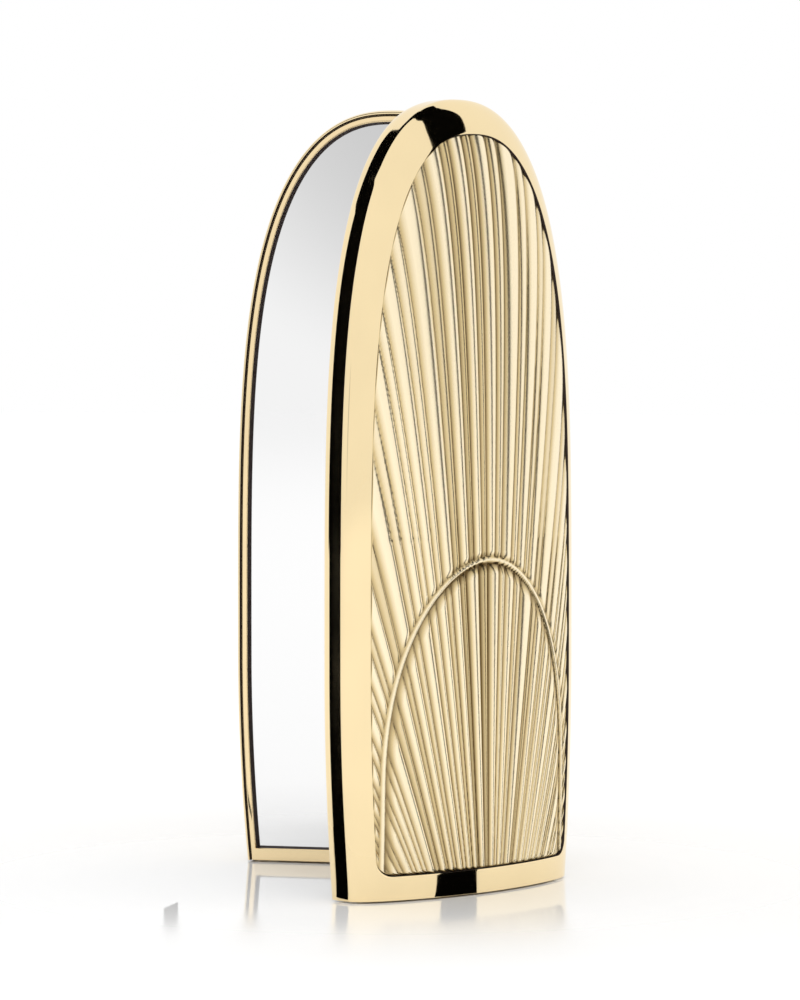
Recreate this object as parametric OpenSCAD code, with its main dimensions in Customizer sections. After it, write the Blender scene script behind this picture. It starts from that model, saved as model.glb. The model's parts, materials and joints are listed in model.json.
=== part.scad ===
// Lipstick case: a half-shell body and a half-shell cover, joined by an upright hinge at the
// right-hand edge. Each half holds a mirror on its inner face. A slim lipstick refill slides
// into a round socket that opens through the base.
// Origin: centre of the socket's mouth, on the base. +Z up, the cover's front faces -Y.

/* [Case] */
// Height of the case
case_h = 90; // [80:1:96]
// Width of the case at its widest
case_w = 38; // [36:0.5:42]
// Depth of the body, from the seam to its back
body_depth = 18; // [17.5:0.5:22]
// Depth of the cover, from the seam to its front
cover_depth = 8.4; // [8.2:0.2:12]
// Angle that the cover stands open at rest
open_angle = 60; // [0:1:100]

/* [Shells] */
// Wall of both shells
wall = 0.7; // [0.6:0.1:1]
// Upright side wall of the body
body_side = 5; // [4:0.5:8]
// Upright side wall of the cover
cover_side = 3.2; // [3.1:0.1:4]
// Width of the polished band around the plate
bezel_w = 2.4; // [1.5:0.1:3.5]
// Width of the polished band at the tip
bezel_tip = 4; // [2:0.1:6]

/* [Mirrors] */
// Distance from the outline to the mirror's opening
rim_w = 1.7; // [1.6:0.1:2.5]
// How deep the mirror sits behind the rim
mirror_recess = 0.9; // [0.5:0.1:1]
// Thickness of each mirror
mirror_t = 1; // [0.8:0.1:1]

/* [Socket] */
// Diameter of the socket for the refill
socket_d = 12.1; // [11.5:0.1:12.2]
// Depth of the socket
socket_depth = 60; // [50:1:62]

/* [Hinge] */
// Diameter of the hinge knuckles
knuckle_d = 2.4; // [2.2:0.1:2.6]
// Diameter of the hinge pin
pin_d = 1.2; // [1:0.1:1.3]
// Height of the hinge's lower end
hinge_z = 12; // [10:1:16]
// Length of each knuckle
knuckle_l = 7; // [5:0.5:8]

/* [Fluting] */
// Number of ribs that fan out over the plate
rib_count = 24; // [12:2:30]
// Height of the ribs over the grooves between them
rib_h = 0.4; // [0.1:0.05:0.4]
// Height of the raised arch on the plate
arch_h = 38; // [30:1:50]

/* [Hidden] */
$fn = 48;

fit_gap = 0.05;         // gap between pieces that are glued or pressed together
part_gap = 0.1;         // gap between the leaves at the seam
seam_back = 9.6;        // from the seam to the socket's axis
wide_at = 0.277;        // height of the widest point, as a share of the case's height
foot_share = 0.936;     // width at the base, as a share of the widest
rise = 3.8;             // how late the sides start to close towards the tip
close = 2.33;           // how full the shoulders are
section = 1.8;          // fullness of the arched section of both halves
crown = 7;              // how late the depth starts to fall towards the tip
last_turn = 86;         // where the outline's curve is cut off for a blunt tip, of 90
edge_steps = 22;        // outline steps above the widest point
foot_steps = 4;         // outline steps below the widest point
arch_steps = 22;        // steps across the arched section
wide_z = wide_at * case_h;
frame_t = 2.3;          // thickness of each mirror frame
carrier_t = 0.6;        // thickness of each carrier plate
frame_inset = wall + fit_gap;
mirror_inset = rim_w - 0.4;
mirror_back = part_gap + mirror_recess + mirror_t;
frame_back = part_gap + frame_t + fit_gap;
carrier_back = part_gap + frame_t + carrier_t + 0.2;
sleeve_wall = 0.4;
sleeve_d = socket_d + 2 * sleeve_wall;
end_wall = 0.8;         // closed top of the socket
base_t = 1.5;           // thickness of both base plates
base_steps = 32;        // steps across the base plates' arched edge
hinge_gap = 0.12;       // between the outline and the knuckles
hinge_x = case_w / 2 + knuckle_d / 2 + hinge_gap;
knuckle_count = 5;
washer_t = 0.3;
washer_gap = 0.4;
pitch = knuckle_l + washer_gap;
pin_play = 0.04;        // running clearance around the pin, on the radius
lug_grip = 0.45;        // how far each knuckle's lug reaches into its frame
lug_x = case_w / 2 - frame_inset - lug_grip;
head_t = 0.5;           // height of the pin's heads
magnet_d = 3.6;
magnet_t = 1;
magnet_x = case_w / 2 - 6.5;
magnet_heights = [24, 56];
plate_inset = bezel_w;
tip_share = (case_h - bezel_tip) / (case_h - bezel_w);
plate_t = 0.9;          // thickness of the fluted plate
plate_sink = 0.25;      // how far the plate lies below the polished band
plate_low = 2.8;        // height of the plate's lower edge
opening_sink = 0.2;     // how far the opening is cut below the side wall's edge
opening_low = 2.7;      // height of the lower edge of the opening in the band
fan_low = -36;          // height of the point that the ribs fan out from
fan_half = 24;          // half the angle that the fan spans
rib_share = 0.62;       // share of the fan that is rib, the rest is groove
arch_bead = 0.8;        // width of the raised arch
arch_margin = 1.4;      // between the arch's feet and the plate's edge
arch_points = 24;
arch_power = 0.8;       // how upright the arch's legs are
pad_sheet_t = 0.3;      // thickness of the pad behind the fluted plate
pad_margin = 0.4;       // between the pad's edge and the opening's
ballast_h = 18;
ballast_w = 7.5;
ballast_x = 10.4;
socket_magnet_d = 8;
socket_magnet_t = 2;
far = 100;              // longer than any side of the case
fan_far = 1.4 * far;    // length of the ribs before they are cut to the plate

// Height of outline step i, from 0 at the base to case_h at the tip
function step_z(i) = i < foot_steps
    ? wide_z * i / foot_steps
    : wide_z + (case_h - wide_z)
      * pow(sin(last_turn * (i - foot_steps) / edge_steps) / sin(last_turn), 2 / rise);

// Half the outline's width at outline step i
function step_w(i) = i < foot_steps
    ? case_w / 2 * (1 - (1 - foot_share) * pow((wide_z - step_z(i)) / wide_z, 2))
    : case_w / 2 * pow(cos(last_turn * (i - foot_steps) / edge_steps), 2 / close);

last_step = foot_steps + edge_steps;

// The outline's right edge as points, moved inwards by inset
function edge_point(i, inset) =
    let (low = max(i - 1, 0), high = min(i + 1, last_step))
    let (dx = step_w(high) - step_w(low), dz = step_z(high) - step_z(low))
    let (run = norm([dx, dz]))
    [step_w(i) - inset * dz / run, step_z(i) + inset * dx / run];

function right_edge(inset) = [
    for (i = [0 : last_step]) let (p = edge_point(i, inset)) if (p[0] > 0.05) p
];

// Flat outline of the case, moved inwards by inset on every side, its heights times tip
module outline(inset = 0, low = 0, tip = 1) {
    edge = [for (p = right_edge(inset)) [p[0], p[1] * tip]];
    intersection() {
        polygon(concat(
            [[0, -1], [edge[0][0], -1]], edge,
            [for (i = [len(edge) - 1 : -1 : 0]) [-edge[i][0], edge[i][1]]],
            [[-edge[0][0], -1]]
        ));
        translate([-far / 2, low]) square([far, far]);
    }
}

// A sheet with the outline's shape, from y to y + t, standing upright
module sheet(inset, y, t, low, tip = 1) {
    translate([0, y + t, 0]) rotate([90, 0, 0]) linear_extrude(t) outline(inset, low, tip);
}

// How far the arched surface stands from the seam, at x and height step i
function arch_y(b, i, side, depth) =
    side + (depth - side) * pow(sin(b), 2 / section)
    * pow(max(1 - pow(step_z(max(i, 0)) / case_h, crown), 0), 0.5);

// One level of a half case: across the seam, up one side wall and over the arch
function level(i, w, h, side, depth, over) =
    let (x = step_w(max(i, 0)) * w / (case_w / 2), z = i < 0 ? -over : step_z(i) * h / case_h)
    concat(
        [[x, -over, z]],
        [for (j = [0 : arch_steps]) let (b = 180 * j / arch_steps)
            [x * sign(cos(b)) * pow(abs(cos(b)), 2 / section), arch_y(b, i, side, depth), z]],
        [[-x, -over, z]]
    );

// A solid half case with its seam on y = 0 and its arch towards +Y.
// over pushes the seam and the base outwards, for cutting.
module half_case(inset, side, depth, over = 0) {
    w = case_w / 2 - inset;
    h = case_h - inset;
    first = over > 0 ? -1 : 0;
    levels = [for (i = [first : last_step]) level(i, w, h, side, depth, over)];
    count = arch_steps + 3;
    rows = len(levels);
    sides = [for (i = [0 : rows - 2], j = [0 : count - 1])
        let (a = i * count + j, b = i * count + (j + 1) % count)
        each [[a, b + count, b], [a, a + count, b + count]]];
    polyhedron(
        points = [for (ring = levels, p = ring) p],
        faces = concat(
            sides,
            [[for (j = [0 : count - 1]) j]],
            [[for (j = [count - 1 : -1 : 0]) (rows - 1) * count + j]]
        ),
        convexity = 4
    );
}

// A hollow half shell, open at the seam and at the base, its rim just clear of the seam
module shell(side, depth) {
    difference() {
        half_case(0, side, depth);
        half_case(wall, side - wall, depth - wall, 1);
        translate([-far / 2, part_gap - 1, -1]) cube([far, 1, far + 1]);
    }
}

// Turns a body-side piece over to the cover's side of the seam
module to_cover() {
    mirror([0, 1, 0]) children();
}

// The cover's pieces are modelled closed, then swung about the hinge to the rest angle
module swing_open() {
    translate([0, -seam_back, 0])
        translate([hinge_x, 0, 0]) rotate([0, 0, open_angle]) translate([-hinge_x, 0, 0])
        children();
}

// The body's pieces are modelled from the seam, then moved so the socket is at the origin
module in_body() {
    translate([0, -seam_back, 0]) children();
}

// An upright disc with its face on y, going towards +Y
module disc(x, y, z, d, t) {
    translate([x, y + t, z]) rotate([90, 0, 0]) cylinder(d = d, h = t);
}

// Lower end of knuckle k, counted from the bottom
function knuckle_z(k) = hinge_z + k * pitch;

// One hinge knuckle with the lug that ties it to its frame
module knuckle(k) {
    difference() {
        union() {
            translate([hinge_x, 0, knuckle_z(k)]) cylinder(d = knuckle_d, h = knuckle_l);
            translate([lug_x, part_gap, knuckle_z(k)])
                cube([hinge_x - lug_x, knuckle_d / 2 - part_gap, knuckle_l]);
        }
        translate([hinge_x, 0, knuckle_z(k) - 1])
            cylinder(r = pin_d / 2 + pin_play, h = knuckle_l + 2);
    }
}

// Room in a shell's side wall for the lug of knuckle k
module lug_slot(k) {
    translate([lug_x, -1, knuckle_z(k) - fit_gap])
        cube([far, knuckle_d / 2 + fit_gap + 1, knuckle_l + 2 * fit_gap]);
}

// Mirror frame: a raised rim in front, a rebate for the mirror behind
module frame_ring() {
    difference() {
        sheet(frame_inset, part_gap, frame_t, 0);
        sheet(rim_w, -1, frame_t + 2, rim_w);
        sheet(mirror_inset - fit_gap, part_gap + mirror_recess, frame_t, mirror_inset - fit_gap);
    }
}

// Mirror that lies in the frame's rebate
module mirror_sheet() {
    sheet(mirror_inset, part_gap + mirror_recess, mirror_t, mirror_inset);
}

// Glue pad between a mirror and its carrier plate
module mirror_pad() {
    sheet(rim_w + 0.3, mirror_back, frame_t + part_gap - mirror_back, rim_w + 0.3);
}

// Plate that closes a frame from behind
module carrier() {
    sheet(frame_inset + 0.5, part_gap + frame_t, carrier_t, base_t + 0.1);
}

// Pair of magnets behind a carrier plate, at the case's free edge
module latch_magnets() {
    for (z = magnet_heights)
        disc(-magnet_x, part_gap + frame_t + carrier_t, z, magnet_d, magnet_t);
}

// Footprint of a half case, moved inwards by inset and kept behind its mirror frame
module footprint(inset, side, depth, front) {
    w = step_w(0) - inset;
    intersection() {
        polygon(concat(
            [[w, 0]],
            [for (j = [0 : base_steps]) let (b = 180 * j / base_steps)
                [w * sign(cos(b)) * pow(abs(cos(b)), 2 / section),
                 side - inset + (depth - side) * pow(sin(b), 2 / section)]],
            [[-w, 0]]
        ));
        translate([-far / 2, front]) square([far, far]);
    }
}

// Back half of the case
module body_shell() {
    color("gold") in_body() difference() {
        shell(body_side, body_depth);
        for (k = [0 : 2 : knuckle_count - 1]) lug_slot(k);
    }
}

// Rim around the body's mirror, with three of the hinge's knuckles
module body_frame() {
    color("goldenrod") in_body() {
        frame_ring();
        for (k = [0 : 2 : knuckle_count - 1]) knuckle(k);
    }
}

// Mirror on the body's inner face
module body_mirror() {
    color("whitesmoke") in_body() mirror_sheet();
}

// Glue pad behind the body's mirror
module body_mirror_pad() {
    color("dimgray") in_body() mirror_pad();
}

// Plate behind the body's mirror
module body_carrier() {
    color("lightgray") in_body() carrier();
}

// Plate that closes the body's base around the socket
module base_plate() {
    color("goldenrod") in_body() difference() {
        linear_extrude(base_t) footprint(wall + fit_gap, body_side, body_depth, frame_back);
        translate([0, seam_back, -1]) cylinder(d = sleeve_d + 0.02, h = base_t + 2);
    }
}

// Two steel weights beside the socket that keep the case steady
module ballast_weights() {
    color("slategray") in_body() difference() {
        translate([0, 0, base_t]) linear_extrude(ballast_h) intersection() {
            footprint(wall + 0.6, body_side, body_depth, carrier_back);
            for (s = [-1, 1]) translate([s * ballast_x - ballast_w / 2, 0]) square([ballast_w, far]);
        }
        translate([0, seam_back, 0]) cylinder(d = sleeve_d + 0.4, h = far);
    }
}

// Tube that takes the refill, closed at its top
module socket_sleeve() {
    color("lightgray") difference() {
        cylinder(d = sleeve_d, h = socket_depth + end_wall);
        translate([0, 0, -1]) cylinder(d = socket_d, h = socket_depth + 1);
    }
}

// Magnet on the socket's closed end that holds the refill in
module socket_magnet() {
    color("dimgray") translate([0, 0, socket_depth + end_wall])
        cylinder(d = socket_magnet_d, h = socket_magnet_t);
}

// Magnets that hold the case shut, body half
module body_latch_magnets() {
    color("dimgray") in_body() latch_magnets();
}

// Pin through all the knuckles, headed at both ends
module hinge_pin() {
    pin_low = hinge_z - washer_gap / 2;
    pin_high = knuckle_z(knuckle_count - 1) + knuckle_l + washer_gap / 2;
    color("goldenrod") in_body() translate([hinge_x, 0, 0]) {
        translate([0, 0, pin_low]) cylinder(d = pin_d, h = pin_high - pin_low);
        translate([0, 0, pin_low - head_t]) cylinder(d = knuckle_d - 0.2, h = head_t);
        translate([0, 0, pin_high]) cylinder(d = knuckle_d - 0.2, h = head_t);
    }
}

// Thin washers between the knuckles
module hinge_washers() {
    color("ivory") in_body()
        for (k = [1 : knuckle_count - 1])
            translate([hinge_x, 0, knuckle_z(k) - washer_gap + (washer_gap - washer_t) / 2])
                difference() {
                    cylinder(d = knuckle_d - 0.2, h = washer_t);
                    translate([0, 0, -1]) cylinder(r = pin_d / 2 + pin_play, h = washer_t + 2);
                }
}

// Front half of the case: side wall and polished band, open in front for the plate
module cover_shell() {
    color("gold") swing_open() to_cover() difference() {
        shell(cover_side, cover_depth);
        sheet(plate_inset, cover_side - opening_sink, far, opening_low, tip_share);
        for (k = [1 : 2 : knuckle_count - 1]) lug_slot(k);
    }
}

// Fan of ribs and the raised arch, as one flat outline
module rib_outline() {
    for (i = [0 : rib_count - 1])
        let (step = 2 * fan_half / rib_count, a = -fan_half + (i + 0.5) * step)
        translate([0, fan_low]) rotate(-a)
            polygon([[0, 0], [-fan_far * tan(step * rib_share / 2), fan_far],
                     [fan_far * tan(step * rib_share / 2), fan_far]]);
    difference() {
        arch_outline(0);
        arch_outline(arch_bead);
    }
}

// Round-topped arch that rises from the plate's lower edge, moved inwards by inset
module arch_outline(inset) {
    w = case_w / 2 - plate_inset - arch_margin - inset;
    h = arch_h - inset;
    polygon([for (i = [0 : arch_points]) let (b = 180 * i / arch_points)
        [w * sign(cos(b)) * pow(abs(cos(b)), arch_power), i == 0 || i == arch_points ? -1 : h * sin(b)]]);
}

// A solid half cover whose arch lies depth below the polished band
module cover_core(down, over = 0) {
    half_case(down, cover_side - down, cover_depth - down, over);
}

// Arched plate with fanned ribs, set into the polished band from behind
module fluted_plate() {
    color("khaki") swing_open() to_cover() intersection() {
        difference() {
            union() {
                cover_core(plate_sink + rib_h);
                intersection() {
                    cover_core(plate_sink);
                    translate([0, far, 0]) rotate([90, 0, 0]) linear_extrude(far) rib_outline();
                }
            }
            cover_core(plate_sink + plate_t, 1);
        }
        sheet(plate_inset + fit_gap, cover_side, far, plate_low, tip_share);
    }
}

// Glue pad that holds the fluted plate from behind
module plate_pad() {
    color("dimgray") swing_open() to_cover() intersection() {
        difference() {
            cover_core(plate_sink + plate_t);
            cover_core(plate_sink + plate_t + pad_sheet_t, 1);
        }
        sheet(plate_inset + pad_margin, cover_side, far, plate_low + pad_margin, tip_share);
    }
}

// Rim around the cover's mirror, with two of the hinge's knuckles
module cover_frame() {
    color("goldenrod") swing_open() to_cover() {
        frame_ring();
        for (k = [1 : 2 : knuckle_count - 1]) knuckle(k);
    }
}

// Mirror on the cover's inner face
module cover_mirror() {
    color("whitesmoke") swing_open() to_cover() mirror_sheet();
}

// Glue pad behind the cover's mirror
module cover_mirror_pad() {
    color("dimgray") swing_open() to_cover() mirror_pad();
}

// Plate behind the cover's mirror
module cover_carrier() {
    color("lightgray") swing_open() to_cover() carrier();
}

// Plate that closes the cover's base
module cover_base_plate() {
    color("goldenrod") swing_open() to_cover() linear_extrude(base_t)
        footprint(wall + fit_gap, cover_side, cover_depth, frame_back);
}

// Magnets that hold the case shut, cover half
module cover_latch_magnets() {
    color("dimgray") swing_open() to_cover() latch_magnets();
}

body_shell();
body_frame();
body_mirror();
body_mirror_pad();
body_carrier();
body_latch_magnets();
base_plate();
ballast_weights();
socket_sleeve();
socket_magnet();
hinge_pin();
hinge_washers();
cover_shell();
fluted_plate();
plate_pad();
cover_frame();
cover_mirror();
cover_mirror_pad();
cover_carrier();
cover_latch_magnets();
cover_base_plate();
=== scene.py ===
"""Lipstick case with a refill socket, two mirrors and a fluted cover, laid out as an add-on.

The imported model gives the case's place and size. Each visible piece is a surface worked out with
numpy in leaf coordinates: x across the leaf, d outwards from the seam, z up, all in millimetres.
The body's leaf stands as it is. The cover's is mirrored in the seam and swung open about the hinge.
The stage is in metres.
"""

import json
import math

import bmesh
import bpy
import numpy as np
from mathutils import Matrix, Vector


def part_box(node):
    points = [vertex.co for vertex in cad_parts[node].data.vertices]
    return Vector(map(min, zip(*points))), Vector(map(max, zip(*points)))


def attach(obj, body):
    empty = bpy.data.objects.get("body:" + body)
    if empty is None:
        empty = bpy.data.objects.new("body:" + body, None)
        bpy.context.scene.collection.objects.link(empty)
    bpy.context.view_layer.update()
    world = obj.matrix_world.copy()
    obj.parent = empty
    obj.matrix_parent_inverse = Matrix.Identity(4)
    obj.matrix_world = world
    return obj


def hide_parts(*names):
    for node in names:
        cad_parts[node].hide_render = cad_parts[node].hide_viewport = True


bl_info = {
    "name": "Lipstick case",
    "version": (1, 0, 0),
    "blender": (4, 5, 0),
    "location": "View3D > Sidebar > Lipstick case",
    "description": "Builds the looks of a hinged lipstick case round its packed model",
    "category": "Object",
}

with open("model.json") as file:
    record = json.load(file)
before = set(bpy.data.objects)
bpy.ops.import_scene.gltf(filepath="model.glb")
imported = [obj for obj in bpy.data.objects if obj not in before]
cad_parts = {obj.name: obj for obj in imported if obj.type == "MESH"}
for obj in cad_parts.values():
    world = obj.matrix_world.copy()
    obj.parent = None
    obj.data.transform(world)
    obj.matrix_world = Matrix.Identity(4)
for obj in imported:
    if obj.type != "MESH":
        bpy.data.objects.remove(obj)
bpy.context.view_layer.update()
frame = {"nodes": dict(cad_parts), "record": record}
MM = 0.001

SHELL_LOW, SHELL_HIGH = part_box("body_shell")
PIN_LOW, PIN_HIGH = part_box("hinge_pin")
CASE_H = SHELL_HIGH[2] / MM
CASE_W = (SHELL_HIGH[0] - SHELL_LOW[0]) / MM
SEAM_GAP = 0.1          # seam to each leaf's rim
SEAM_Y = SHELL_LOW[1] / MM - SEAM_GAP
BODY_DEPTH = SHELL_HIGH[1] / MM - SEAM_Y
HINGE_X = (PIN_LOW[0] + PIN_HIGH[0]) / 2 / MM
OPEN_ANGLE = math.radians(60)

WIDE_AT = 0.277         # height of the widest point, as a share of the height
FOOT_SHARE = 0.936      # width at the base, as a share of the widest
RISE = 3.8              # how late the sides close towards the tip
CLOSE = 2.33            # how full the shoulders are
SECTION = 1.8           # fullness of the arched section
CROWN = 7               # how late the depth falls towards the tip
FRAME_INSET = 0.75      # outline to mirror frame
FRAME_BACK = 2.4        # seam to the back of the mirror frame
SHELL_WALL = 0.5        # thickness of both shells
EDGE_ROUND = 0.1        # rounding on the shells' cut edges
KNUCKLE_R = 1.2
KNUCKLE_BORE_R = 0.64
KNUCKLE_L = 7.0
KNUCKLE_PITCH = 7.4
KNUCKLE_Z = 12.0        # foot of the lowest knuckle
LUG_X = CASE_W / 2 - 1.2
LUG_WALL = 0.3          # knuckle's bore to the lug's end
LUG_CLEAR = 0.05        # how much shorter a lug is than its knuckle, at each end
PLATE_GAP = 0.12        # opening to plate
PLATE_WALL = 0.6        # plate's face to its back
ARCH_SPRING = 12.0      # height at which the raised arch leaves its upright legs
ARCH_ACROSS, ARCH_UP = 1.9, 2.3     # fullness of the arch, across and upwards
OUTER_PITCH = 0.042     # angle between the flutes over the arch, in radians
INNER_PITCH = 0.05      # angle between the flutes under it
BEAD_HALF = 0.3         # half the width of the raised line on the arch
BORDER = 0.2            # width of the painted shade line along the plate's edge


# Sizes and colours that a user would change

def linear(hex_colour):
    """The linear colour of an sRGB hex value, with alpha 1."""
    srgb = [int(hex_colour[i:i + 2], 16) / 255 for i in (1, 3, 5)]
    return [c / 12.92 if c <= 0.04045 else ((c + 0.055) / 1.055) ** 2.4 for c in srgb] + [1.0]


def length(name, description, default):
    """A length property whose default is given in millimetres."""
    return bpy.props.FloatProperty(
        name=name, description=description, default=default * MM, unit="LENGTH", precision=4)


def colour(name, description, default):
    """A colour property whose default is an sRGB hex value."""
    return bpy.props.FloatVectorProperty(
        name=name, description=description, default=linear(default), size=4, subtype="COLOR",
        min=0, max=1)


class CaseSizes(bpy.types.PropertyGroup):
    """Sizes of the case's visible detail."""
    cover_depth: length("Cover depth", "Seam to the cover's front", 8.4)
    cover_side: length("Cover side", "Upright side wall of the cover", 3.2)
    body_side: length("Body side", "Upright side wall of the body", 5.0)
    band: length("Band", "Width of the polished band round the plate", 2.4)
    band_low: length("Band foot", "Height of the band under the plate", 2.7)
    corner: length("Corner", "Radius of the plate's lower corners", 2.0)
    band_tip: length("Band at the tip", "Width of the polished band at the tip", 4.0)
    rim_round: length("Rim round", "How far the rim's rounding runs in at the seam", 0.5)
    rim_run: length("Rim run", "How far the rim's rounding runs down the side wall", 1.6)
    mirror_rim: length("Mirror rim", "Outline to the mirror's opening", 1.7)
    mirror_depth: length("Mirror depth", "Seam to the mirror's face", 1.0)
    plate_sink: length("Plate sink", "Band to the crests of the flutes", 0.16)
    flute_depth: length("Flute depth", "Crest to groove", 0.4)
    arch_height: length("Arch height", "Height of the raised arch on the plate", 37.8)
    arch_half: length("Arch half width", "Half the raised arch's width", 14.9)
    fan_low: length("Fan origin", "Depth below the base of the point the flutes fan from", 22.0)


class CaseColours(bpy.types.PropertyGroup):
    """Colours of the case's finishes."""
    gold: colour("Gold", "Polished pale gold of both shells", "#F8E2B4")
    rim_gold: colour("Rim gold", "Warmer gold of the mirror rims", "#F6DEB0")
    plate_gold: colour("Plate gold", "Satin gold of the fluted plate", "#FFEFCC")
    mirror: colour("Mirror", "Silvered glass", "#F3F3F3")
    plastic: colour("Plastic", "Inner moulded parts", "#D9D7D0")
    foam: colour("Pad", "Black glue pads", "#17120F")
    # Painted shade, dark brown: it darkens the mirror rims' recesses and the shells' cut edges.
    edge: colour("Mirror edge", "Painted shade in each rim's recess and on the shells' cut edges", "#24120D")
    steel: colour("Steel", "Weights and magnets", "#8C8F94")
    floor: colour("Floor", "Studio floor and backdrop", "#FFFFFF")


def sizes():
    """The size settings in millimetres, by name."""
    group = bpy.context.scene.case_sizes
    return {key: getattr(group, key) / MM for key in CaseSizes.__annotations__}


# Shape of a leaf, in millimetres

def edge_curve():
    """Right edge from base to tip: a parabola below the widest point, a superellipse above it."""
    wide = WIDE_AT * CASE_H
    low = np.linspace(0, wide, 400, endpoint=False)
    low_x = CASE_W / 2 * (1 - (1 - FOOT_SHARE) * ((wide - low) / wide) ** 2)
    turn = np.linspace(0, 1, 2400) ** 1.6 * math.pi / 2
    high = wide + (CASE_H - wide) * np.sin(turn) ** (2 / RISE)
    high_x = CASE_W / 2 * np.cos(turn).clip(0) ** (2 / CLOSE)
    return np.concatenate([low_x, high_x]), np.concatenate([low, high])


EDGE_X, EDGE_Z = edge_curve()
EDGE_RUN = np.concatenate([[0], np.cumsum(np.hypot(np.diff(EDGE_X), np.diff(EDGE_Z)))])


def half_width(z):
    """Half the outline's width at height z, by the same formula as the edge curve."""
    wide = WIDE_AT * CASE_H
    below = 1 - (1 - FOOT_SHARE) * ((wide - z) / wide) ** 2
    share = ((z - wide) / (CASE_H - wide)).clip(0, 1)
    above = (1 - share ** RISE).clip(0) ** (1 / CLOSE)
    return CASE_W / 2 * np.where(z < wide, below, above)


def bulge(x, z, side, depth):
    """Seam to surface: the side wall plus an arch across, which falls away towards the tip."""
    across = (1 - (np.abs(x) / half_width(z).clip(1e-6)).clip(0, 1) ** SECTION) ** (1 / SECTION)
    crown = (1 - (z / CASE_H).clip(0, 1) ** CROWN) ** 0.5
    return side + (depth - side) * across * crown


def inset_edge(run, inset):
    """Points of the right edge at the given arc lengths, moved inwards along its normal.

    The normal is square to the chord between the points a step before and a step after.
    """
    step = 0.05
    x, z = np.interp(run, EDGE_RUN, EDGE_X), np.interp(run, EDGE_RUN, EDGE_Z)
    dx = np.interp(run + step, EDGE_RUN, EDGE_X) - np.interp(run - step, EDGE_RUN, EDGE_X)
    dz = np.interp(run + step, EDGE_RUN, EDGE_Z) - np.interp(run - step, EDGE_RUN, EDGE_Z)
    size = np.hypot(dx, dz)
    at_tip = run > EDGE_RUN[-1] - step
    dx, dz = np.where(at_tip, -size, dx), np.where(at_tip, 0, dz)
    return (x - inset * dz / size).clip(0), z + inset * dx / size


def leaf_loop(inset, low, radius, count=220, corner=16, foot=60):
    """Closed outline moved inwards by inset, with a flat foot at height low and round corners.

    It runs along the foot from left to right, round the corner, up the right edge to the tip
    and down the left one. The same counts give loops whose points match one to one. The side
    starts at the corner's top and eases onto its own height over its lowest stretch.
    """
    run = np.linspace(low + radius, EDGE_RUN[-1], count)
    side_x, side_z = inset_edge(run, inset)
    side_z = side_z + (low + radius - side_z[0]) * (1 - np.linspace(0, 1, count)) ** 8
    side_x[-1] = 0
    turn = np.linspace(0, 1, corner, endpoint=False) * math.pi / 2
    corner_x = side_x[0] - radius + radius * np.sin(turn)
    corner_z = low + radius - radius * np.cos(turn)
    foot_x = np.linspace(0, side_x[0] - radius, foot, endpoint=False)
    half_x = np.concatenate([foot_x, corner_x, side_x])
    half_z = np.concatenate([np.full(foot, low), corner_z, side_z])
    x = np.concatenate([half_x, -half_x[-2:0:-1]])
    z = np.concatenate([half_z, half_z[-2:0:-1]])
    return x, z


def swung(points, leaf):
    """Leaf points (x, d, z) in mm as points of the frame in metres.

    The cover's are mirrored in the seam, then turned about the hinge by the opening angle.
    """
    x, d, z = points[..., 0], points[..., 1], points[..., 2]
    if leaf == "body":
        return np.stack([x, SEAM_Y + d, z], -1) * MM
    c, s = math.cos(OPEN_ANGLE), math.sin(OPEN_ANGLE)
    dx, dy = x - HINGE_X, -d
    return np.stack([HINGE_X + c * dx - s * dy, SEAM_Y + s * dx + c * dy, z], -1) * MM


# Meshes

def grid_faces(rows, cols, wrap_rows=False, wrap_cols=False, first=0):
    """Quads between neighbouring points of a rows by cols grid."""
    i = np.arange(rows if wrap_rows else rows - 1)[:, None]
    j = np.arange(cols if wrap_cols else cols - 1)[None, :]
    i2, j2 = (i + 1) % rows, (j + 1) % cols
    quads = np.stack([i * cols + j, i * cols + j2, i2 * cols + j2, i2 * cols + j], -1)
    return quads.reshape(-1, 4) + first


def piece(name, parts, leaf, materials, nodes, sharp, marked=()):
    """One object from (points, faces) parts in leaf coordinates, merged, closed and smooth.

    Edges that turn by more than sharp degrees stay sharp. The faces numbered in marked take the
    second material.
    """
    mesh = bpy.data.meshes.new(name)
    points, faces, first = [], [], 0
    for part_points, part_faces in parts:
        flat = part_points.reshape(-1, 3)
        points.append(swung(flat, leaf))
        faces.extend([first + int(v) for v in face] for face in part_faces)
        first += len(flat)
    mesh.from_pydata(np.concatenate(points).tolist(), [], faces)
    for material in materials:
        mesh.materials.append(material)
    for number in marked:
        mesh.polygons[number].material_index = 1
    shape = bmesh.new()
    shape.from_mesh(mesh)
    bmesh.ops.remove_doubles(shape, verts=shape.verts, dist=2e-7)
    bmesh.ops.dissolve_degenerate(shape, edges=shape.edges, dist=1e-8)
    bmesh.ops.recalc_face_normals(shape, faces=shape.faces)
    shape.to_mesh(mesh)
    shape.free()
    mesh.shade_smooth()
    mesh.set_sharp_from_angle(angle=math.radians(sharp))
    made = bpy.data.objects.new(name, mesh)
    bpy.context.scene.collection.objects.link(made)
    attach(made, leaf)
    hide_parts(*nodes)
    return made


def level(loop, d):
    """The points of an (x, z) loop at one distance d from the seam."""
    x, z = loop
    return np.stack([x, np.full_like(x, d), z], -1)


def swept(profile):
    """A closed profile of (inset, d, foot height) carried round the leaf's outline."""
    points = np.stack([level(leaf_loop(inset, low, 0), d) for inset, d, low in profile])
    return points, grid_faces(len(profile), points.shape[1], True, True)


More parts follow.
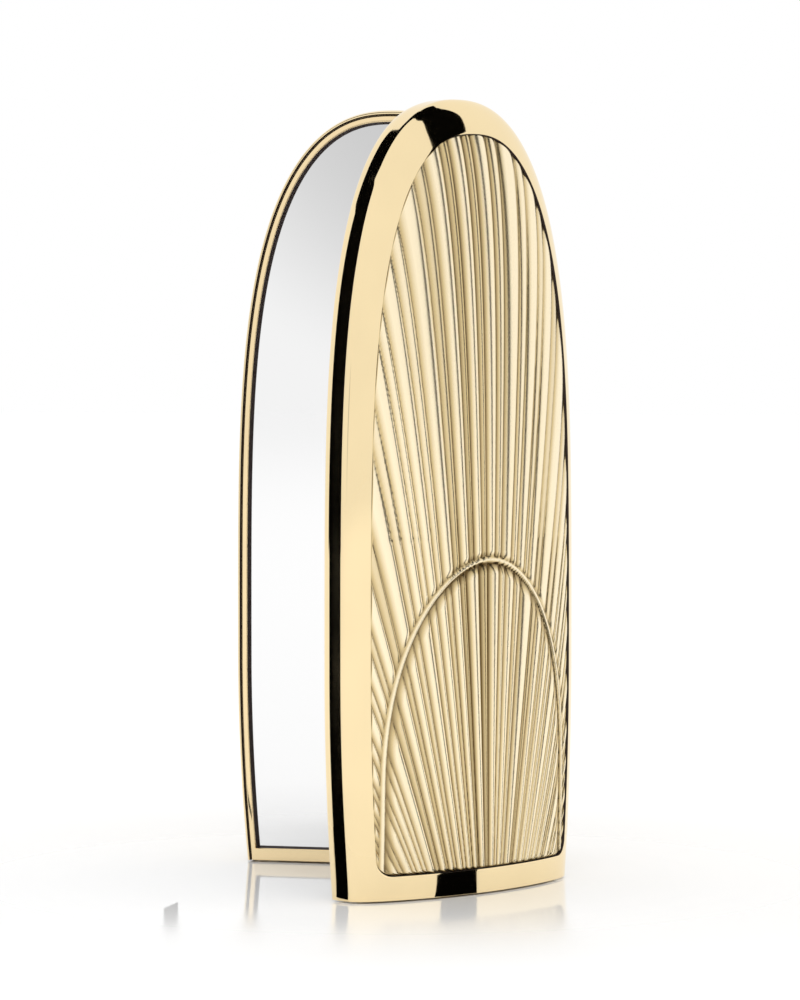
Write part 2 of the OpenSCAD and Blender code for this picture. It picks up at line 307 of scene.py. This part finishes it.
def tube(x, z_low, z_high, r_out, r_in, count=64, edge=0.12):
    """A tube about an upright axis on the seam, with its end edges rounded off.

    A ring a little inside each outer corner turns the chamfer there into a rounding.
    """
    arc = edge * 0.3
    profile = [(r_in, z_low + edge), (r_in + edge, z_low), (r_out - edge, z_low),
               (r_out - arc, z_low + arc), (r_out, z_low + edge),
               (r_out, z_high - edge), (r_out - arc, z_high - arc),
               (r_out - edge, z_high), (r_in + edge, z_high), (r_in, z_high - edge)]
    turn = np.linspace(0, 2 * math.pi, count, endpoint=False)
    rows = [np.stack([x + r * np.cos(turn), r * np.sin(turn), np.full(count, z)], -1)
            for r, z in profile]
    return np.stack(rows), grid_faces(len(profile), count, True, True)


def block(x_low, x_high, d_low, d_high, z_low, z_high):
    """A straight lug between two level faces and four upright ones."""
    plan = ((x_low, d_low), (x_high, d_low), (x_high, d_high), (x_low, d_high))
    corners = np.array([[x, d, z] for z in (z_low, z_high) for x, d in plan])
    walls = [[i, (i + 1) % 4, (i + 1) % 4 + 4, i + 4] for i in range(4)]
    return corners, [[3, 2, 1, 0], [4, 5, 6, 7]] + walls


def shell_sheet(size, leaf):
    """Outer skin of a half shell: a round rim at the seam, the side wall, then the arch.

    The rim is a quarter ellipse. The body's skin runs in to the centre line. The cover's stops
    at the plate's opening. Rows lie closer together near the side wall, where the arch is steep.
    """
    outer_x, outer_z = leaf_loop(0, 0, 0)
    if leaf == "body":
        side, depth = size["body_side"], BODY_DEPTH
        share = np.linspace(0, 1, 70)[1:] ** 1.6
        inner_x, inner_z = np.zeros_like(outer_x), outer_z * 0.8
    else:
        side, depth = size["cover_side"], size["cover_depth"]
        share = np.linspace(0, 1, 26)[1:] ** 1.8
        inner_x, inner_z = opening_loop(size, 0)
    rows = []
    for turn in np.linspace(0, math.pi / 2, 12):
        rows.append(level(leaf_loop(size["rim_round"] * (1 - math.sin(turn)), 0, 0),
                          SEAM_GAP + size["rim_run"] * (1 - math.cos(turn))))
    for d in np.linspace(SEAM_GAP + size["rim_run"], side, 8)[1:]:
        rows.append(level((outer_x, outer_z), d))
    for s in share:
        x, z = outer_x + (inner_x - outer_x) * s, outer_z + (inner_z - outer_z) * s
        rows.append(np.stack([x, bulge(x, z, side, depth), z], -1))
    return np.stack(rows)


def opening_loop(size, gap, *counts):
    """The plate's opening, moved inwards by gap: its tip lies lower than the outline's."""
    tip = (CASE_H - size["band_tip"]) / (CASE_H - size["band"])
    x, z = leaf_loop(size["band"] + gap, (size["band_low"] + gap) / tip, size["corner"], *counts)
    return x, z * tip


def finish_shell(made):
    """Gives a skin its wall inwards, painted shade on its cut edges, then a fine rounding on them.
    """
    wall = made.modifiers.new("wall", "SOLIDIFY")
    wall.thickness = SHELL_WALL * MM
    wall.offset = -1
    wall.use_even_offset = True
    # The cut edges take the second material: dark painted shade.
    wall.material_offset_rim = 1
    edge = made.modifiers.new("edge", "BEVEL")
    edge.width = EDGE_ROUND * MM
    edge.segments = 3
    edge.limit_method = "ANGLE"
    edge.angle_limit = math.radians(50)
    edge.harden_normals = False


# Surface relief of the fluted plate

def ribs(angle, pitch, seed):
    """Rounded pleats that lean to one side: each pitch holds a wide one and a narrow one.

    Two slow waves of the angle vary their widths and a third the narrow ones' height. The
    section is an arch, 1 at its crest, which is pulled to one side and filled out by a power.
    """
    phase = angle / pitch + 0.16 * np.sin(angle * 15 + seed) + 0.1 * np.sin(angle * 43 + 2 * seed)
    share = phase - np.floor(phase)
    wide = 0.62         # share of the pitch that the wide pleat takes
    full = 0.75
    across = np.where(share < wide, share / wide, (share - wide) / (1 - wide))
    top = np.where(share < wide, 1.0, 0.75 + 0.15 * np.sin(angle * 29))
    lean = 1 - (1 - across) ** full
    return top * (1 - (2 * lean - 1) ** 2).clip(0) ** full


def fade(near, far, gap):
    """0 up to the near distance and 1 from the far one, rising steeply at first."""
    return ((gap - near) / (far - near)).clip(0, 1) ** 0.7


def relief(x, z, size):
    """Height of the stamped pattern, 0 to 1: two fans of ribs, parted by a raised arch.

    The arch is a superellipse on upright legs. Distance from it is its formula's value
    divided by the length of its gradient. The inner ribs die away towards the arch, the outer
    ones keep a third of their height, and a half-round bead runs along it.
    """
    half, rise = size["arch_half"], size["arch_height"] - ARCH_SPRING
    up = (z - ARCH_SPRING).clip(0)
    value = (np.abs(x) / half) ** ARCH_ACROSS + (up / rise) ** ARCH_UP - 1
    slope = np.hypot(ARCH_ACROSS * np.abs(x) ** (ARCH_ACROSS - 1) / half ** ARCH_ACROSS,
                     ARCH_UP * up ** (ARCH_UP - 1) / rise ** ARCH_UP)
    gap = value / slope.clip(0.02)
    angle = np.arctan2(x, z + size["fan_low"])
    outer = ribs(angle, OUTER_PITCH, 0.6) * (0.35 + 0.65 * fade(BEAD_HALF, 0.9, gap))
    inner = ribs(angle, INNER_PITCH, 2.1) * fade(0.35, 1.5, -gap)
    bead = (1 - (gap / BEAD_HALF) ** 2).clip(0) ** 0.5
    return np.maximum(np.where(gap < 0, inner, outer), bead * 0.95)


def groove_depth(x, z, size):
    """How far the face lies below the crests, in mm: deepest in the middle and low down.

    A bell curve across gives the middle its depth, and a root of the height the lower part.
    """
    centre, spread, low_top = -1.0, 6.5, 44
    middle = 0.6 + 0.4 * np.exp(-((x - centre) / spread) ** 2)
    low = 1 + 0.35 * (1 - z / low_top).clip(0) ** 0.5
    return size["flute_depth"] * middle * low * (1 - relief(x, z, size))


def plate_edge(size):
    """The x and z of the plate's right edge, from its lower corner to its tip, and its foot's z."""
    loop_x, loop_z = opening_loop(size, PLATE_GAP, 900, 60, 2)
    right = slice(1, int(np.argmax(loop_z)) + 1)
    return loop_x[right], loop_z[right], loop_z[0]


def border_shade(x, z, size):
    """Painted shade of the gap: 1 along the plate's edge, falling to 0 just inside it."""
    edge_x, edge_z, low = plate_edge(size)
    to_edge = np.minimum(np.interp(z, edge_z, edge_x) - np.abs(x), z - low)
    return 1 - (to_edge / BORDER).clip(0, 1)


def plate_surface(size):
    """The plate's face on a grid of rows up the leaf, each from its left edge to its right.

    The rows are even up to the middle of the plate, then draw together towards the tip.
    """
    even_top, even_rows, tip_rows, columns = 40, 168, 104, 341
    edge_x, edge_z, low = plate_edge(size)
    even = np.linspace(low, even_top, even_rows, endpoint=False)
    turn = np.linspace(0, 1, tip_rows) * math.pi / 2
    z = np.concatenate([even, even_top + (edge_z[-1] - even_top) * np.sin(turn) ** 0.9])
    edge = np.interp(z, edge_z, edge_x)
    edge[-1] = 0
    x = edge[:, None] * np.linspace(-1, 1, columns)
    z = np.repeat(z[:, None], columns, 1)
    d = bulge(x, z, size["cover_side"], size["cover_depth"]) - size["plate_sink"]
    return np.stack([x, d - groove_depth(x, z, size), z], -1)


# Materials

def node(tree, kind, settings=None, links=None):
    """Adds one shader node, with its settings and the links into its inputs."""
    made = tree.nodes.new(kind)
    for key, value in (settings or {}).items():
        if key in made.inputs:
            made.inputs[key].default_value = value
        else:
            setattr(made, key, value)
    for key, source in (links or {}).items():
        tree.links.new(source, made.inputs[key])
    return made


def new_material(name):
    """An empty node material and its tree."""
    made = bpy.data.materials.new(name)
    made.use_nodes = True
    made.node_tree.nodes.clear()
    return made, made.node_tree


def ramp(tree, source, stops):
    """A colour ramp of (place, linear colour) stops fed by source."""
    made = node(tree, "ShaderNodeValToRGB", links={"Fac": source})
    for i, (place, value) in enumerate(stops):
        stop = made.color_ramp.elements[i] if i < 2 else made.color_ramp.elements.new(place)
        stop.position, stop.color = place, value
    return made.outputs["Color"]


def polished_gold(name, tint, rough):
    """Gold-plated brass, buffed: mirror-like, with a barely uneven sheen from hand polishing."""
    made, tree = new_material(name)
    place = node(tree, "ShaderNodeTexCoord").outputs["Object"]
    # Buffing leaves soft patches about 8 mm across in how glossy the plating is.
    patches = node(tree, "ShaderNodeTexNoise", {"Scale": 1 / 0.008, "Detail": 2.0},
                   {"Vector": place})
    gloss = node(tree, "ShaderNodeMapRange", {"To Min": rough * 0.7, "To Max": rough * 1.4},
                 {"Value": patches.outputs["Fac"]})
    darker = [c * 0.96 for c in tint[:3]] + [1.0]
    shade = ramp(tree, patches.outputs["Fac"], [(0.3, darker), (0.7, list(tint))])
    shader = node(tree, "ShaderNodeBsdfPrincipled", {"Metallic": 1.0},
                  {"Base Color": shade, "Roughness": gloss.outputs["Result"]})
    node(tree, "ShaderNodeOutputMaterial", links={"Surface": shader.outputs["BSDF"]})
    return made


def satin_gold(name, tint):
    """Stamped, bead-blasted brass: a soft sheen, fine grain, and painted shade in each groove."""
    made, tree = new_material(name)
    place = node(tree, "ShaderNodeTexCoord").outputs["Object"]
    # The blast's grain is 0.05 mm on the real plate. It is drawn at 0.12 mm so it shows.
    grain = node(tree, "ShaderNodeTexNoise", {"Scale": 1 / 0.00012, "Detail": 2.0},
                 {"Vector": place})
    height = node(tree, "ShaderNodeBump", {"Strength": 0.12, "Distance": 0.00002},
                  {"Height": grain.outputs["Fac"]})
    # The groove attribute sets painted shade: the deeper in a groove, and the nearer the plate's
    # edge, the darker the colour.
    depth = node(tree, "ShaderNodeAttribute", {"attribute_name": "groove"})
    flank_shade = [tint[0] * 0.7, tint[1] * 0.63, tint[2] * 0.47, 1.0]
    groove_shade = [tint[0] * 0.14, tint[1] * 0.1, tint[2] * 0.05, 1.0]
    shade = ramp(tree, depth.outputs["Fac"], [(0.08, list(tint)), (0.4, flank_shade), (0.85, groove_shade)])
    shader = node(tree, "ShaderNodeBsdfPrincipled", {"Metallic": 1.0, "Roughness": 0.2},
                  {"Base Color": shade, "Normal": height.outputs["Normal"]})
    node(tree, "ShaderNodeOutputMaterial", links={"Surface": shader.outputs["BSDF"]})
    return made


def silvered_glass(name, tint):
    """Float glass silvered at the back: a clean mirror with a faint grey cast."""
    made, tree = new_material(name)
    place = node(tree, "ShaderNodeTexCoord").outputs["Object"]
    # Float glass is uneven over about 40 mm, which bends far reflections a trace.
    waves = node(tree, "ShaderNodeTexNoise", {"Scale": 1 / 0.04, "Detail": 0.0}, {"Vector": place})
    bend = node(tree, "ShaderNodeBump", {"Strength": 0.02, "Distance": 0.00005},
                {"Height": waves.outputs["Fac"]})
    shader = node(tree, "ShaderNodeBsdfPrincipled",
                  {"Metallic": 1.0, "Roughness": 0.02, "Base Color": tint},
                  {"Normal": bend.outputs["Normal"]})
    node(tree, "ShaderNodeOutputMaterial", links={"Surface": shader.outputs["BSDF"]})
    return made


def moulded(name, tint, rough, metallic, grain_mm):
    """A plain finish with a fine even grain: inner moulded plastic, pads and ground steel, and the
    dark painted edge shade.
    """
    made, tree = new_material(name)
    place = node(tree, "ShaderNodeTexCoord").outputs["Object"]
    grain = node(tree, "ShaderNodeTexNoise", {"Scale": 1 / (grain_mm * MM), "Detail": 3.0},
                 {"Vector": place})
    height = node(tree, "ShaderNodeBump", {"Strength": 0.2, "Distance": 0.00005},
                  {"Height": grain.outputs["Fac"]})
    darker = [c * 0.85 for c in tint[:3]] + [1.0]
    shade = ramp(tree, grain.outputs["Fac"], [(0.3, darker), (0.7, list(tint))])
    shader = node(tree, "ShaderNodeBsdfPrincipled", {"Metallic": metallic, "Roughness": rough},
                  {"Base Color": shade, "Normal": height.outputs["Normal"]})
    node(tree, "ShaderNodeOutputMaterial", links={"Surface": shader.outputs["BSDF"]})
    return made


FINISHES = {}


class MakeFinishes(bpy.types.Operator):
    """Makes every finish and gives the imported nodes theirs"""
    bl_idname = "lipstick_case.finishes"
    bl_label = "Finishes"

    def execute(self, context):
        tints = context.scene.case_colours
        FINISHES.update({
            "polished_gold": polished_gold("gold_plated_brass_polished", tints.gold, 0.045),
            "rim_gold": polished_gold("gold_plated_brass_rim", tints.rim_gold, 0.06),
            "satin_gold": satin_gold("gold_plated_brass_satin", tints.plate_gold),
            "mirror_glass": silvered_glass("silvered_float_glass", list(tints.mirror)),
            "pale_plastic": moulded("abs_moulded_pale", tints.plastic, 0.45, 0.0, 0.3),
            # A dark brown that paints shade into the mirror rims' recesses and onto the shells' cut
            # edges.
            "dark_edge": moulded("painted_edge_shade", tints.edge, 0.6, 0.0, 0.4),
            "dark_foam": moulded("acrylic_foam_black", tints.foam, 0.9, 0.0, 0.2),
            "ballast_steel": moulded("mild_steel_ground", tints.steel, 0.35, 1.0, 0.15),
        })
        same = {"base_gold": "polished_gold", "hinge_gold": "rim_gold",
                "magnet_nickel": "ballast_steel", "washer_plastic": "pale_plastic"}
        for part in frame["record"]["subparts"]:
            slot = part["material_slot"]
            packed = frame["nodes"][part["node"]]
            finish = FINISHES[same.get(slot, slot)]
            if not packed.material_slots:
                packed.data.materials.append(finish)
            for holder in packed.material_slots:
                holder.material = finish
        return {"FINISHED"}


class MakeShells(bpy.types.Operator):
    """Builds the polished half shells of the body and the cover"""
    bl_idname = "lipstick_case.shells"
    bl_label = "Half shells"

    def execute(self, context):
        size = sizes()
        for leaf in ("body", "cover"):
            points = shell_sheet(size, leaf)
            faces = grid_faces(points.shape[0], points.shape[1], False, True)
            # The base is open, so the faces that lie flat on it are left out.
            foot = (points[:, :, 2].reshape(-1)[faces] < 1e-6).all(1)
            made = piece(f"{leaf}_shell_skin", [(points, faces[~foot])], leaf,
                         [FINISHES["polished_gold"], FINISHES["dark_edge"]],
                         [f"{leaf}_shell"], 40)
            finish_shell(made)
        return {"FINISHED"}


class MakeMirrorFrames(bpy.types.Operator):
    """Builds both mirror rims with the hinge knuckles on them"""
    bl_idname = "lipstick_case.mirror_frames"
    bl_label = "Mirror rims and knuckles"

    def execute(self, context):
        # From the back up the outside, over the rounded lip, down into the recess and back under
        # the mirror. The steps into the recess carry painted shade, dark for the recess's shadow.
        rim, face = sizes()["mirror_rim"], sizes()["mirror_depth"]
        under = rim - 0.45
        profile = [(FRAME_INSET, FRAME_BACK, 0), (FRAME_INSET, 0.3, 0),
                   (FRAME_INSET + 0.03, 0.19, 0.02), (FRAME_INSET + 0.1, 0.13, 0.08)]
        profile += [(inset, d, self.foot(inset, rim)) for inset, d in (
            (FRAME_INSET + 0.18, SEAM_GAP), (1.34, SEAM_GAP), (1.39, 0.14), (1.43, 0.24),
            (1.62, 0.75))]
        profile += [(rim, 0.85, rim), (rim, face, rim), (under, face, under),
                    (under, FRAME_BACK, under)]
        first_dark, last_dark = 7, 10
        for leaf, numbers in (("body", (0, 2, 4)), ("cover", (1, 3))):
            points, faces = swept(profile)
            around = points.shape[1]
            parts = [(points, faces)]
            for number in numbers:
                low = KNUCKLE_Z + number * KNUCKLE_PITCH
                parts.append(tube(HINGE_X, low, low + KNUCKLE_L, KNUCKLE_R, KNUCKLE_BORE_R))
                parts.append(block(LUG_X, HINGE_X - KNUCKLE_BORE_R - LUG_WALL, SEAM_GAP,
                                   KNUCKLE_R - LUG_CLEAR, low + LUG_CLEAR,
                                   low + KNUCKLE_L - LUG_CLEAR))
            piece(f"{leaf}_mirror_rim", parts, leaf, [FINISHES["rim_gold"], FINISHES["dark_edge"]],
                  [f"{leaf}_frame"], 30, range(first_dark * around, last_dark * around))
        return {"FINISHED"}

    def foot(self, inset, rim):
        """Height of the rim's lower edge at an inset: it rises steeply, then levels off."""
        return rim * ((inset - FRAME_INSET) / (rim - FRAME_INSET)) ** 0.4


class MakeMirrors(bpy.types.Operator):
    """Builds the two mirrors"""
    bl_idname = "lipstick_case.mirrors"
    bl_label = "Mirrors"

    def execute(self, context):
        # Inset and distance from the seam: back bevel, upright edge, fine bevel at the face.
        face = sizes()["mirror_depth"]
        profile = ((1.6, face + 1.0), (1.3, face + 0.9), (1.3, face + 0.06), (1.36, face))
        for leaf in ("body", "cover"):
            points = np.stack([level(leaf_loop(inset, inset, 0), d) for inset, d in profile])
            count = points.shape[1]
            faces = grid_faces(len(profile), count, False, True).tolist()
            faces.append(list(range(count)))
            faces.append([len(profile) * count - 1 - i for i in range(count)])
            piece(f"{leaf}_mirror_glass", [(points, faces)], leaf, [FINISHES["mirror_glass"]],
                  [f"{leaf}_mirror"], 20)
        return {"FINISHED"}


class MakePlate(bpy.types.Operator):
    """Builds the fluted plate with its two fans and raised arch"""
    bl_idname = "lipstick_case.plate"
    bl_label = "Fluted plate"

    def execute(self, context):
        size = sizes()
        face = plate_surface(size)
        rows, cols = face.shape[:2]
        # The back is flat across: one point behind each end of every row.
        back = face[:, [0, -1]] - np.array([0, PLATE_WALL, 0])
        points = np.concatenate([face.reshape(-1, 3), back.reshape(-1, 3)])
        first = rows * cols
        faces = grid_faces(rows, cols).tolist()
        for i in range(rows - 1):
            a, b = first + 2 * i, first + 2 * i + 2
            faces.append([a, b, b + 1, a + 1])
            faces.append([i * cols, (i + 1) * cols, b, a])
            faces.append([(i + 1) * cols - 1, a + 1, b + 1, (i + 2) * cols - 1])
        faces.append([first] + list(range(cols)) + [first + 1])
        made = piece("fluted_plate_skin", [(points, faces)], "cover", [FINISHES["satin_gold"]],
                     ["fluted_plate"], 75)
        count = len(made.data.vertices)
        place = np.empty(count * 3)
        made.data.vertices.foreach_get("co", place)
        place = place.reshape(-1, 3) / MM
        # Turned back about the hinge to leaf coordinates, each point reads its groove's depth,
        # which sets its painted shade.
        c, s = math.cos(-OPEN_ANGLE), math.sin(-OPEN_ANGLE)
        x = HINGE_X + c * (place[:, 0] - HINGE_X) - s * (place[:, 1] - SEAM_Y)
        depth = made.data.attributes.new("groove", "FLOAT", "POINT")
        share = groove_depth(x, place[:, 2], size) / size["flute_depth"]
        # Painted shade along the plate's edge, standing for the shadow in the gap round the plate.
        share = np.maximum(share, border_shade(x, place[:, 2], size))
        depth.data.foreach_set("value", share.astype(np.float32))
        return {"FINISHED"}


# Stage: metres, radians and millimetres of lens
CAMERA_AT = Vector((0.1244, -0.5118, 0.0630))
CAMERA_YAW = 0.2402
CAMERA_PITCH = -0.0375
CAMERA_LENS = 156.4
FLOOR_REACH, FLOOR_Z = 3.0, -0.0002
FLAG_Z = 0.00005        # height of the flags that lie on the floor
FLAG_TOP = 0.0048       # top of the left flag's upright strip


class MakeStage(bpy.types.Operator):
    """Sets up the floor, the flags, the light and the camera"""
    bl_idname = "lipstick_case.stage"
    bl_label = "Studio"

    def execute(self, context):
        scene = context.scene
        self.floor(scene.case_colours.floor)
        self.flags()
        self.softbox(scene)
        self.world(scene)
        self.camera(scene)
        return {"FINISHED"}

    def floor(self, tint):
        """Glossy white acrylic, whose sheen is strongest under the case and gone 60 mm away."""
        white, tree = new_material("acrylic_white_glossy")
        place = node(tree, "ShaderNodeTexCoord").outputs["Object"]
        away = node(tree, "ShaderNodeVectorMath", {"operation": "DISTANCE"})
        tree.links.new(place, away.inputs[0])
        away.inputs[1].default_value = (0.003, -0.02, 0.0)
        sheen = node(tree, "ShaderNodeMapRange",
                     {"From Min": 0.028, "From Max": 0.085, "To Min": 0.2, "To Max": 0.0},
                     {"Value": away.outputs["Value"]})
        gloss = node(tree, "ShaderNodeMapRange",
                     {"From Min": 0.03, "From Max": 0.085, "To Min": 0.05, "To Max": 0.7},
                     {"Value": away.outputs["Value"]})
        shader = node(tree, "ShaderNodeBsdfPrincipled", {"Base Color": list(tint)},
                      {"Roughness": gloss.outputs["Result"],
                       "Specular IOR Level": sheen.outputs["Result"]})
        node(tree, "ShaderNodeOutputMaterial", links={"Surface": shader.outputs["BSDF"]})
        corners = [(x * FLOOR_REACH, y * FLOOR_REACH, FLOOR_Z)
                   for x, y in ((-1, -1), (1, -1), (1, 1), (-1, 1))]
        self.slab("studio_floor", corners, [[0, 1, 2, 3]], white)

    def flags(self):
        """Black cloths that give the gold its dark bands, seen by reflections alone."""
        black, tree = new_material("flag_cloth_black")
        # The cloth's back is clear, so only the side towards the case darkens anything.
        cloth = node(tree, "ShaderNodeBsdfDiffuse", {"Color": (0.001, 0.001, 0.001, 1)})
        open_back = node(tree, "ShaderNodeBsdfTransparent")
        side = node(tree, "ShaderNodeNewGeometry").outputs["Backfacing"]
        mixed = node(tree, "ShaderNodeMixShader", links={"Fac": side})
        tree.links.new(cloth.outputs["BSDF"], mixed.inputs[1])
        tree.links.new(open_back.outputs["BSDF"], mixed.inputs[2])
        node(tree, "ShaderNodeOutputMaterial", links={"Surface": mixed.outputs["Shader"]})
        # Each flag's outline: at an elevation, the azimuths it spans, in degrees round the case.
        for name, outline in (
                ("flag_left", ((-2, -176, -160), (40, -176, -160))),
                ("flag_right", ((-2, -4.3, 8.5), (23, -4.3, 8.5), (32, -8, 15), (42, -11, 20),
                                (58, -13, 22), (66, -20, 32), (71, -22, 100), (76, -22, 140),
                                (82, -22, 185), (89.9, -22, 185))),
                ("flag_back", ((30, 176, 184), (38, 172, 184), (44, 165, 185), (50, 150, 185),
                               (56, 130, 185), (66, 118, 185), (84, 100, 185)))):
            self.dome_patch(name, outline, black)
        # The same flags carried on over the floor, left open where the mirror would see them.
        self.slab("flag_right_foot", [(0.0126, -0.0384, FLAG_Z), (0.997, -0.075, FLAG_Z),
                                      (0.989, 0.148, FLAG_Z), (0.0162, -0.0334, FLAG_Z)],
                  [[0, 1, 2, 3]], black)
        # Left foot: the near cloth, a low upright strip at its end, then the far cloth.
        self.slab("flag_left_foot", [(0.001, -0.0432, FLAG_Z), (-0.0155, -0.0455, FLAG_Z),
                                     (-0.0155, -0.0510, FLAG_Z), (0.0035, -0.0442, FLAG_Z),
                                     (-0.0155, -0.0455, FLAG_TOP), (-0.0155, -0.0510, FLAG_TOP),
                                     (-0.0320, -0.0478, FLAG_Z), (-0.9900, -0.1392, FLAG_Z),
                                     (-0.9455, -0.3256, FLAG_Z), (-0.0320, -0.0564, FLAG_Z)],
                  [[0, 1, 2, 3], [1, 4, 5, 2], [6, 7, 8, 9]], black)

    def softbox(self, scene):
        """A large soft light from the front right, aimed at the case."""
        area = bpy.data.lights.new("softbox", "AREA")
        area.shape, area.size, area.size_y, area.energy = "RECTANGLE", 1.2, 1.2, 3.0
        made = bpy.data.objects.new("softbox", area)
        scene.collection.objects.link(made)
        made.location = (0.4, -0.9, 1.3)
        made.visible_glossy = False
        made.rotation_mode = "QUATERNION"
        made.rotation_quaternion = (-made.location).to_track_quat("-Z", "Y")

    def world(self, scene):
        """A white surround with a soft grey patch in front, which the open mirror faces."""
        made = bpy.data.worlds.new("soft_studio")
        scene.world = made
        made.use_nodes = True
        tree = made.node_tree
        tree.nodes.clear()
        ahead = node(tree, "ShaderNodeTexCoord").outputs["Generated"]
        patch = node(tree, "ShaderNodeVectorMath", {"operation": "DOT_PRODUCT"})
        tree.links.new(ahead, patch.inputs[0])
        patch.inputs[1].default_value = self.toward(-102.5, 4)
        near = node(tree, "ShaderNodeMapRange",
                    {"interpolation_type": "SMOOTHSTEP", "From Min": 0.9962, "From Max": 0.9999},
                    {"Value": patch.outputs["Value"]})
        shade = ramp(tree, near.outputs["Result"],
                     [(0.0, (1, 1, 1, 1)), (1.0, (0.66, 0.66, 0.66, 1))])
        back = node(tree, "ShaderNodeBackground", {"Strength": 1.0}, {"Color": shade})
        node(tree, "ShaderNodeOutputWorld", links={"Surface": back.outputs["Background"]})
        scene.view_settings.view_transform = "Standard"

    def camera(self, scene):
        """A long lens a little above the case's middle, from the front right."""
        made = bpy.data.objects.new("camera", bpy.data.cameras.new("camera"))
        scene.collection.objects.link(made)
        scene.camera = made
        made.location = CAMERA_AT
        ahead = Vector((-math.sin(CAMERA_YAW) * math.cos(CAMERA_PITCH),
                        math.cos(CAMERA_YAW) * math.cos(CAMERA_PITCH), math.sin(CAMERA_PITCH)))
        made.rotation_mode = "QUATERNION"
        made.rotation_quaternion = ahead.to_track_quat("-Z", "Y")
        made.data.lens = CAMERA_LENS
        made.data.clip_start = 0.01
        made.data.clip_end = 20

    def toward(self, azimuth, elevation):
        """The unit direction of an azimuth and an elevation in degrees."""
        a, e = math.radians(azimuth), math.radians(elevation)
        return Vector((math.cos(a) * math.cos(e), math.sin(a) * math.cos(e), math.sin(e)))

    def slab(self, name, points, faces, material):
        """A stage piece, seen by reflections alone unless it is the floor."""
        mesh = bpy.data.meshes.new(name)
        mesh.from_pydata(points, [], faces)
        mesh.materials.append(material)
        made = bpy.data.objects.new(name, mesh)
        bpy.context.scene.collection.objects.link(made)
        if name != "studio_floor":
            made.visible_camera = made.visible_diffuse = made.visible_shadow = False

    def dome_patch(self, name, outline, material):
        """A black cloth on a dome of 1 m round the case, its face inwards.

        The outline lists (elevation, azimuth from, azimuth to), with straight edges between.
        """
        rises, west, east = (np.array(column, float) for column in zip(*outline))
        rows, columns = 48, 24
        points = []
        for rise in np.linspace(rises[0], rises[-1], rows):
            for share in np.linspace(0, 1, columns):
                low, high = np.interp(rise, rises, west), np.interp(rise, rises, east)
                points.append(self.toward(low + share * (high - low), rise))
        faces = grid_faces(rows, columns)[:, ::-1].tolist()
        self.slab(name, points, faces, material)


STEPS = (MakeFinishes, MakeShells, MakeMirrorFrames, MakeMirrors, MakePlate, MakeStage)


class CasePanel(bpy.types.Panel):
    """Lists the steps, the sizes and the colours"""
    bl_idname = "VIEW3D_PT_lipstick_case"
    bl_label = "Lipstick case"
    bl_space_type = "VIEW_3D"
    bl_region_type = "UI"
    bl_category = "Lipstick case"

    def draw(self, context):
        for step in STEPS:
            self.layout.operator(step.bl_idname)
        for group in (context.scene.case_sizes, context.scene.case_colours):
            box = self.layout.box()
            for key in type(group).__annotations__:
                box.prop(group, key)


CLASSES = (CaseSizes, CaseColours, *STEPS, CasePanel)


def register():
    for kind in CLASSES:
        bpy.utils.register_class(kind)
    bpy.types.Scene.case_sizes = bpy.props.PointerProperty(type=CaseSizes)
    bpy.types.Scene.case_colours = bpy.props.PointerProperty(type=CaseColours)


def unregister():
    del bpy.types.Scene.case_colours
    del bpy.types.Scene.case_sizes
    for kind in reversed(CLASSES):
        bpy.utils.unregister_class(kind)


def main():
    register()
    for step in STEPS:
        group, name = step.bl_idname.split(".")
        getattr(getattr(bpy.ops, group), name)()


if __name__ == "__main__":
    main()
